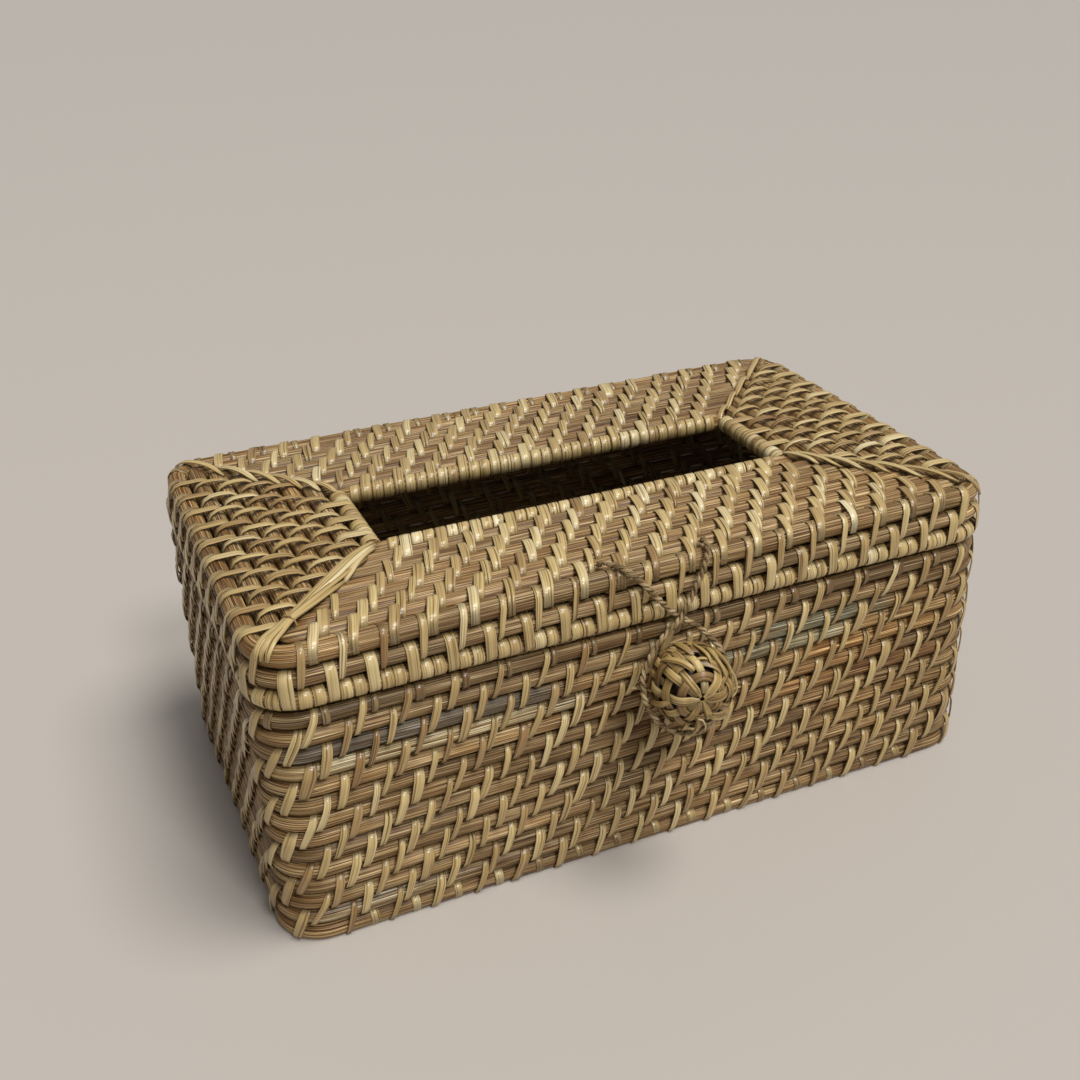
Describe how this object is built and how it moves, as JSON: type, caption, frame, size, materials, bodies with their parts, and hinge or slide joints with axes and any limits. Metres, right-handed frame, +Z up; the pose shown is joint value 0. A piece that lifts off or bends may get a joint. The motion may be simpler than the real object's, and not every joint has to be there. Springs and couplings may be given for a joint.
{
  "type": "tissue box cover",
  "caption": "Lidded rectangular wicker tissue box of lashed cane rods, with a slot in the hinged lid and a twine loop over a woven ball.",
  "frame": {"origin": "on the resting plane, under the middle of the box", "axes": "+X to the right along the front, +Y from the front to the hinge side, +Z up"},
  "size_m": [0.26, 0.1783, 0.1091],
  "materials": {
    "cane_rod": "brown whole cane with dark and pale fibre streaks, satin",
    "peel_strip": "straw-coloured glossy cane peel",
    "hinge_strip": "straw-coloured glossy cane peel",
    "ball_strip": "woven cane peel, satin",
    "twine": "hairy two-ply plant-fibre twine, matt"
  },
  "bodies": {
    "base": {"base_course_01": "cane_rod", "base_course_02": "cane_rod", "base_course_03": "cane_rod", "base_course_04": "cane_rod", "base_course_05": "cane_rod", "base_course_06": "cane_rod", "base_course_07": "cane_rod", "base_course_08": "cane_rod", "base_course_09": "cane_rod", "base_course_10": "cane_rod", "base_course_11": "cane_rod", "base_course_12": "cane_rod", "base_course_13": "cane_rod", "base_course_14": "cane_rod", "floor_rods": "cane_rod", "base_lashing_01": "peel_strip", "base_lashing_02": "peel_strip", "base_lashing_03": "peel_strip", "base_lashing_04": "peel_strip", "base_lashing_05": "peel_strip", "base_lashing_06": "peel_strip", "base_lashing_07": "peel_strip", "base_lashing_08": "peel_strip", "base_lashing_09": "peel_strip", "base_lashing_10": "peel_strip", "base_lashing_11": "peel_strip", "base_lashing_12": "peel_strip", "base_lashing_13": "peel_strip", "base_top_wrap": "peel_strip", "floor_lashing": "peel_strip", "floor_edge_lashing": "peel_strip", "hinge_loop_left": "hinge_strip", "hinge_loop_right": "hinge_strip", "clasp_ball_core": "ball_strip", "clasp_ball_rings": "ball_strip", "clasp_ball_spokes": "ball_strip", "clasp_stem": "ball_strip"},
    "lid": {"lid_rim_rod": "cane_rod", "lid_mid_rod": "cane_rod", "lid_corner_rod": "cane_rod", "lid_front_rods": "cane_rod", "lid_right_rods": "cane_rod", "lid_back_rods": "cane_rod", "lid_left_rods": "cane_rod", "slot_rim_rods": "cane_rod", "lid_rim_wrap": "peel_strip", "lid_edge_lashing": "peel_strip", "lid_front_lashing": "peel_strip", "lid_right_lashing": "peel_strip", "lid_back_lashing": "peel_strip", "lid_left_lashing": "peel_strip", "slot_rim_wrap": "peel_strip", "mitre_strips_front_left": "peel_strip", "mitre_strips_front_right": "peel_strip", "mitre_strips_back_left": "peel_strip", "mitre_strips_back_right": "peel_strip", "twine_knots": "twine"},
    "loop": {"twine_loop": "twine"}
  },
  "joints": [
    {"name": "lid_hinge", "type": "hinge", "parent": "base", "child": "lid", "pos_m": [0, 0.0717, 0.0894], "axis": [-1, 0, 0], "range_deg": [0, 105]},
    {"name": "loop_swing", "type": "hinge", "parent": "lid", "child": "loop", "pos_m": [0, -0.06642, 0.1069], "axis": [-1, 0, 0], "range_deg": [0, 85]}
  ]
}
